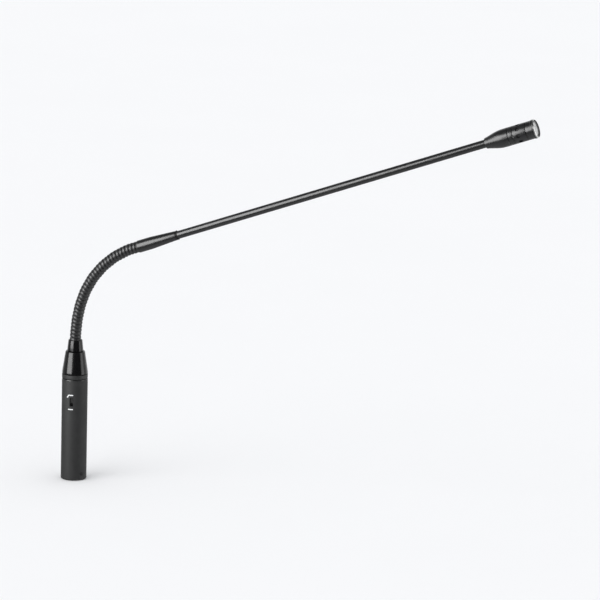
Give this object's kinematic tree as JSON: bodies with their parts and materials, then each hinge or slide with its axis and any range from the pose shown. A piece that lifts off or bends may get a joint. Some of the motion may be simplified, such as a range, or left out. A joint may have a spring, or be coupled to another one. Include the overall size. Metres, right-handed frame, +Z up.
{
  "type": "gooseneck podium microphone",
  "caption": "Slim podium microphone: cylindrical base module with a pin socket, bendable ribbed neck, long straight tube and a small perforated capsule head.",
  "frame": {"origin": "on the base module's axis, at the plane of its connector shell's rim", "axes": "+Z up the base module's axis; the neck bends in the X-Z plane and the arm leans towards +X; the switch faces roughly -Y"},
  "size_m": [0.3549, 0.019, 0.295],
  "materials": {
    "satin_black": "satin black coating",
    "matte_black": "matte black coating",
    "gloss_black": "gloss black lacquer",
    "neck_black": "black oxide on wound steel",
    "steel": "bright wire and turned steel",
    "brass": "turned",
    "gold": "gold flashed",
    "rubber": "black rubber",
    "circuit_board": "green solder mask",
    "dark_plastic": "moulded",
    "foam": "open-cell acoustic foam"
  },
  "bodies": {
    "base": {"base_housing": "satin_black", "shell_set_screw": "matte_black", "collar_ring": "matte_black", "coupling_sleeve": "brass", "neck_cone": "gloss_black", "neck_collar": "gloss_black", "neck_anchor": "neck_black", "anchor_nut": "brass", "xlr_insulator": "dark_plastic", "xlr_pin_1": "gold", "xlr_pin_2": "gold", "xlr_pin_3": "gold", "ground_contact": "steel", "preamp_board": "circuit_board", "filter_capacitor_1": "steel", "filter_capacitor_2": "steel", "amplifier_chip": "dark_plastic", "output_transistor": "dark_plastic", "cable_connector": "dark_plastic", "switch_frame": "dark_plastic", "signal_cable": "rubber"},
    "switch": {"switch_slider": "satin_black"},
    "link_01": {"neck_link_01": "neck_black"},
    "link_02": {"neck_link_02": "neck_black"},
    "link_03": {"neck_link_03": "neck_black"},
    "link_04": {"neck_link_04": "neck_black"},
    "link_05": {"neck_link_05": "neck_black"},
    "link_06": {"neck_link_06": "neck_black"},
    "link_07": {"neck_link_07": "neck_black"},
    "link_08": {"neck_link_08": "neck_black"},
    "link_09": {"neck_link_09": "neck_black"},
    "link_10": {"neck_link_10": "neck_black"},
    "link_11": {"neck_link_11": "neck_black"},
    "link_12": {"neck_link_12": "neck_black"},
    "link_13": {"neck_link_13": "neck_black"},
    "link_14": {"neck_link_14": "neck_black"},
    "link_15": {"neck_link_15": "neck_black"},
    "arm": {"neck_end_sleeve": "neck_black", "neck_ferrule": "satin_black", "ferrule_ring": "rubber", "arm_tube": "satin_black", "head_rear_shell": "satin_black", "head_lock_ring": "satin_black", "head_port_sleeve": "satin_black", "head_front_sleeve": "satin_black", "front_grille": "steel", "grille_snap_ring": "steel", "grille_foam": "foam", "capsule_cup": "brass", "diaphragm_ring": "steel", "capsule_diaphragm": "gold", "capsule_backplate": "brass", "capsule_board": "circuit_board", "capsule_gasket": "rubber"}
  },
  "joints": [
    {"name": "neck_bend_lower", "type": "hinge", "parent": "base", "child": "link_01", "pos_m": [0, 0, 0.1077], "axis": [0, 1, 0], "range_deg": [-11.58, 2.94], "deforming": ["signal_cable"]},
    {"name": "neck_swing_lower", "type": "hinge", "parent": "link_01", "child": "link_02", "pos_m": [0.00052, 0, 0.11358], "axis": [-0.9961, 0, 0.088], "range_deg": [-9.38, 9.38], "deforming": ["signal_cable"]},
    {"name": "neck_bend_03", "type": "hinge", "parent": "link_02", "child": "link_03", "pos_m": [0.00104, 0, 0.11945], "axis": [0, 1, 0], "range_deg": [-15, 3.81]},
    {"name": "neck_swing_04", "type": "hinge", "parent": "link_03", "child": "link_04", "pos_m": [0.00222, 0, 0.12523], "axis": [-0.9796, 0, 0.2008], "range_deg": [-9.38, 9.38]},
    {"name": "neck_bend_05", "type": "hinge", "parent": "link_04", "child": "link_05", "pos_m": [0.00341, 0, 0.13101], "axis": [0, 1, 0], "range_deg": [-18.42, 4.68]},
    {"name": "neck_swing_06", "type": "hinge", "parent": "link_05", "child": "link_06", "pos_m": [0.00539, 0, 0.13657], "axis": [-0.942, 0, 0.3356], "range_deg": [-9.38, 9.38]},
    {"name": "neck_bend_07", "type": "hinge", "parent": "link_06", "child": "link_07", "pos_m": [0.00737, 0, 0.14213], "axis": [0, 1, 0], "range_deg": [-21.84, 5.54]},
    {"name": "neck_swing_08", "type": "hinge", "parent": "link_07", "child": "link_08", "pos_m": [0.01024, 0, 0.14728], "axis": [-0.8736, 0, 0.4867], "range_deg": [-9.38, 9.38]},
    {"name": "neck_bend_09", "type": "hinge", "parent": "link_08", "child": "link_09", "pos_m": [0.01311, 0, 0.15244], "axis": [0, 1, 0], "range_deg": [-23.17, 5.88]},
    {"name": "neck_swing_10", "type": "hinge", "parent": "link_09", "child": "link_10", "pos_m": [0.01684, 0, 0.15701], "axis": [-0.7748, 0, 0.6323], "range_deg": [-9.38, 9.38]},
    {"name": "neck_bend_11", "type": "hinge", "parent": "link_10", "child": "link_11", "pos_m": [0.02057, 0, 0.16158], "axis": [0, 1, 0], "range_deg": [-23.17, 5.88]},
    {"name": "neck_swing_12", "type": "hinge", "parent": "link_11", "child": "link_12", "pos_m": [0.02505, 0, 0.16543], "axis": [-0.6519, 0, 0.7583], "range_deg": [-9.38, 9.38]},
    {"name": "neck_bend_13", "type": "hinge", "parent": "link_12", "child": "link_13", "pos_m": [0.02952, 0, 0.16927], "axis": [0, 1, 0], "range_deg": [-23.17, 5.88]},
    {"name": "neck_swing_14", "type": "hinge", "parent": "link_13", "child": "link_14", "pos_m": [0.0346, 0, 0.17228], "axis": [-0.509, 0, 0.8608], "range_deg": [-9.38, 9.38]},
    {"name": "neck_bend_upper", "type": "hinge", "parent": "link_14", "child": "link_15", "pos_m": [0.03968, 0, 0.17528], "axis": [0, 1, 0], "range_deg": [-23.17, 5.88], "deforming": ["signal_cable"]},
    {"name": "neck_swing_upper", "type": "hinge", "parent": "link_15", "child": "arm", "pos_m": [0.0452, 0, 0.17735], "axis": [-0.3502, 0, 0.9367], "range_deg": [-9.38, 9.38], "deforming": ["signal_cable"]},
    {"name": "low_cut_switch", "type": "slide", "parent": "base", "child": "switch", "axis": [0, 0, 1], "range_m": [-0.0022, 0]}
  ],
  "couplings": [
    {"joint": "neck_bend_03", "follows": "neck_bend_lower", "ratio": 1.295},
    {"joint": "neck_swing_04", "follows": "neck_swing_lower", "ratio": 1},
    {"joint": "neck_bend_05", "follows": "neck_bend_lower", "ratio": 1.59},
    {"joint": "neck_swing_06", "follows": "neck_swing_lower", "ratio": 1},
    {"joint": "neck_bend_07", "follows": "neck_bend_lower", "ratio": 1.885},
    {"joint": "neck_swing_08", "follows": "neck_swing_lower", "ratio": 1},
    {"joint": "neck_bend_09", "follows": "neck_bend_upper", "ratio": 1},
    {"joint": "neck_swing_10", "follows": "neck_swing_upper", "ratio": 1},
    {"joint": "neck_bend_11", "follows": "neck_bend_upper", "ratio": 1},
    {"joint": "neck_swing_12", "follows": "neck_swing_upper", "ratio": 1},
    {"joint": "neck_bend_13", "follows": "neck_bend_upper", "ratio": 1},
    {"joint": "neck_swing_14", "follows": "neck_swing_upper", "ratio": 1}
  ]
}
